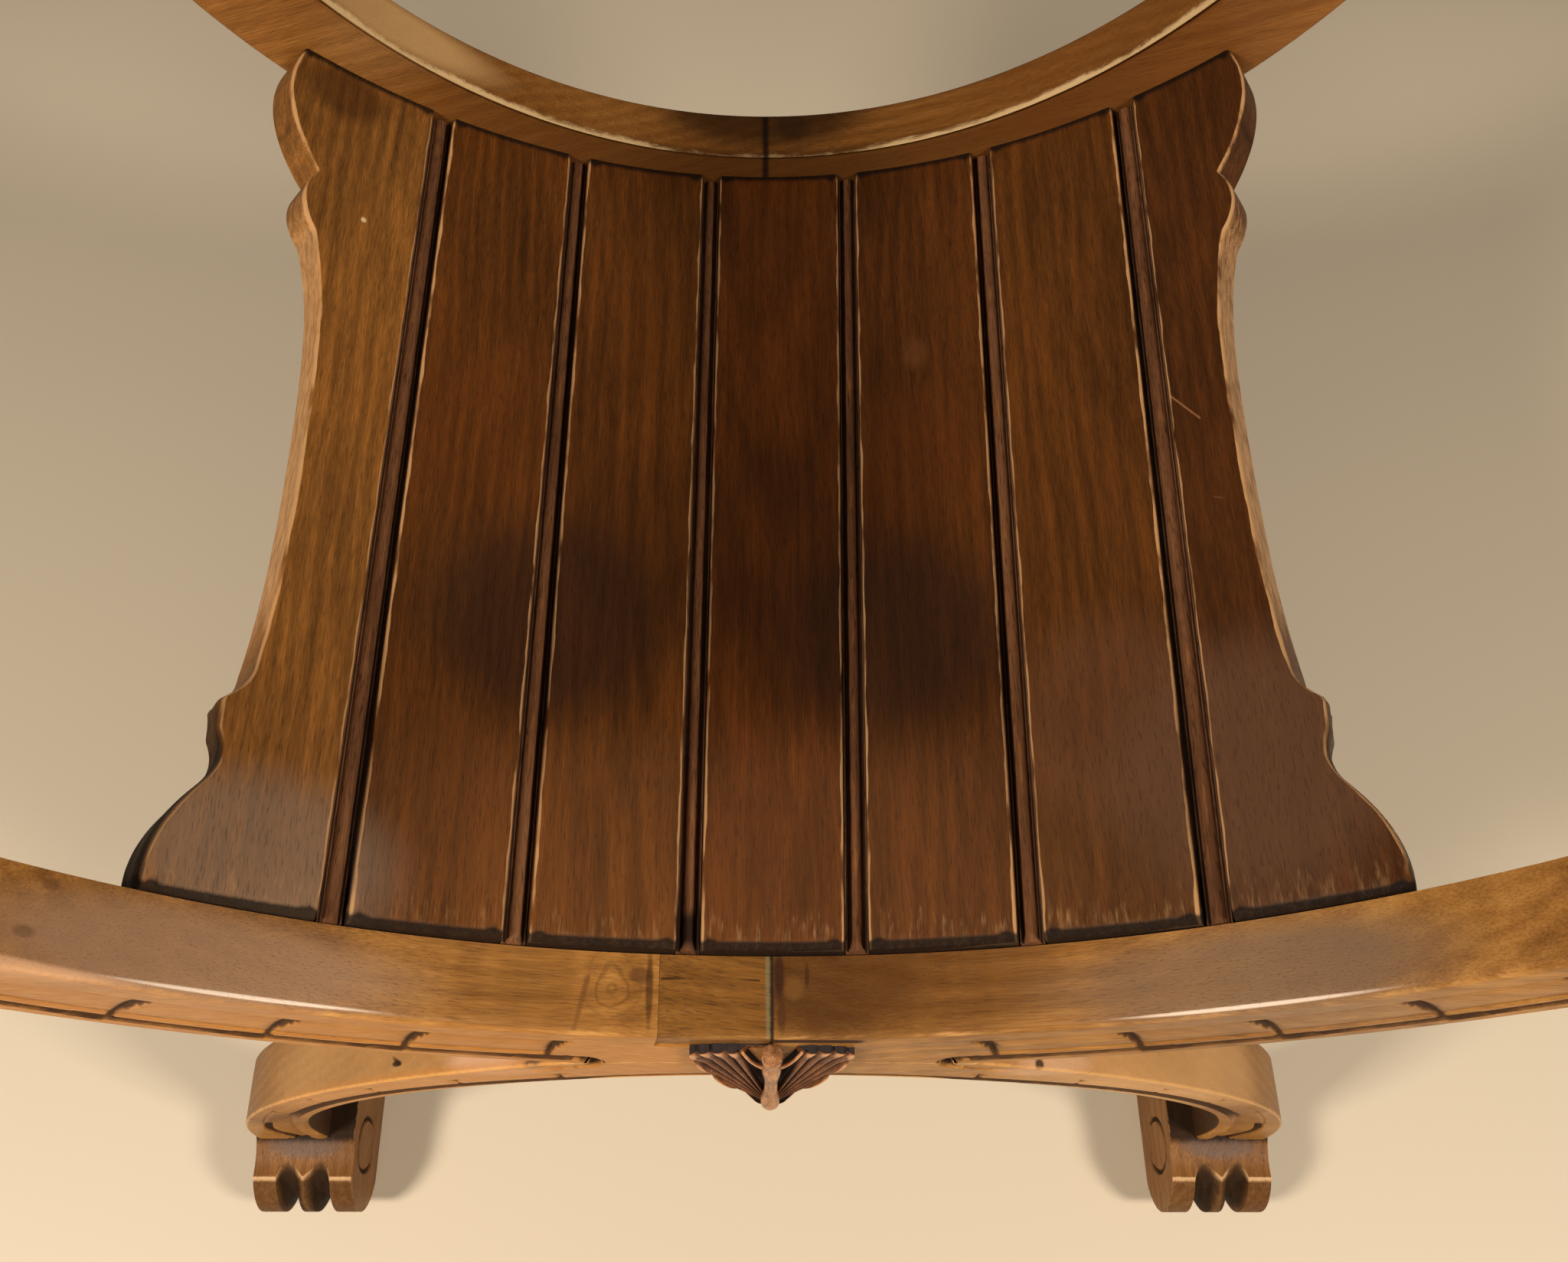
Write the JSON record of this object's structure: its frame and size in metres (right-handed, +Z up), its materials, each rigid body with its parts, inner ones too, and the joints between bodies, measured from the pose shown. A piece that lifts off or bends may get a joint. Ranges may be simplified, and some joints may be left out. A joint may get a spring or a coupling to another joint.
{
  "type": "armchair",
  "caption": "Walnut armchair with two crossed-arc frames, a dished plank seat, scrolled arms and a panel back.",
  "frame": {"origin": "on the floor, at the middle of the chair's footprint", "axes": "+Z up, the front of the chair towards -Y, the sitter's left hand towards +X"},
  "size_m": [0.638, 0.55, 0.9368],
  "materials": {
    "front_frame_walnut": "waxed walnut, worn honey brown on the arrises, dark dirt in the carving",
    "back_frame_walnut": "waxed walnut, honey brown with a pale worn edge",
    "foot_walnut": "waxed walnut, rubbed pale on the edges",
    "seat_board_walnut": "dark waxed walnut with pale rubbed edges",
    "seat_strip_walnut": "dark waxed walnut",
    "arm_walnut": "waxed walnut, polished by hands",
    "back_walnut": "dark waxed walnut",
    "bearer_beech": "bare stained beech",
    "stretcher_walnut": "dark waxed walnut",
    "palmette_walnut": "carved walnut with dark dirt in the hollows",
    "dowel_beech": "bare beech",
    "screw_steel": "dull iron"
  },
  "bodies": {
    "root": {"arm_front_dowels": "dowel_beech", "arm_left": "arm_walnut", "arm_rear_dowels": "dowel_beech", "arm_right": "arm_walnut", "back_crest_rail": "back_walnut", "back_foot_left": "foot_walnut", "back_foot_right": "foot_walnut", "back_frame_left": "back_frame_walnut", "back_frame_right": "back_frame_walnut", "back_lower_rail": "back_walnut", "back_panel": "back_walnut", "back_post_left": "back_walnut", "back_post_right": "back_walnut", "back_seat_bearer": "bearer_beech", "bearer_screws": "screw_steel", "crossing_stretcher": "stretcher_walnut", "foot_dowels": "dowel_beech", "front_foot_left": "foot_walnut", "front_foot_right": "foot_walnut", "front_frame_left": "front_frame_walnut", "front_frame_right": "front_frame_walnut", "front_joint_key": "front_frame_walnut", "front_palmette": "palmette_walnut", "front_seat_bearer": "bearer_beech", "joint_dowels": "dowel_beech", "post_dowels": "dowel_beech", "post_finials": "back_walnut", "seat_board_1": "seat_board_walnut", "seat_board_2": "seat_board_walnut", "seat_board_3": "seat_board_walnut", "seat_board_4": "seat_board_walnut", "seat_board_5": "seat_board_walnut", "seat_board_6": "seat_board_walnut", "seat_board_7": "seat_board_walnut", "seat_screws": "screw_steel", "seat_strip_1": "seat_strip_walnut", "seat_strip_2": "seat_strip_walnut", "seat_strip_3": "seat_strip_walnut", "seat_strip_4": "seat_strip_walnut", "seat_strip_5": "seat_strip_walnut", "seat_strip_6": "seat_strip_walnut"}
  },
  "joints": []
}
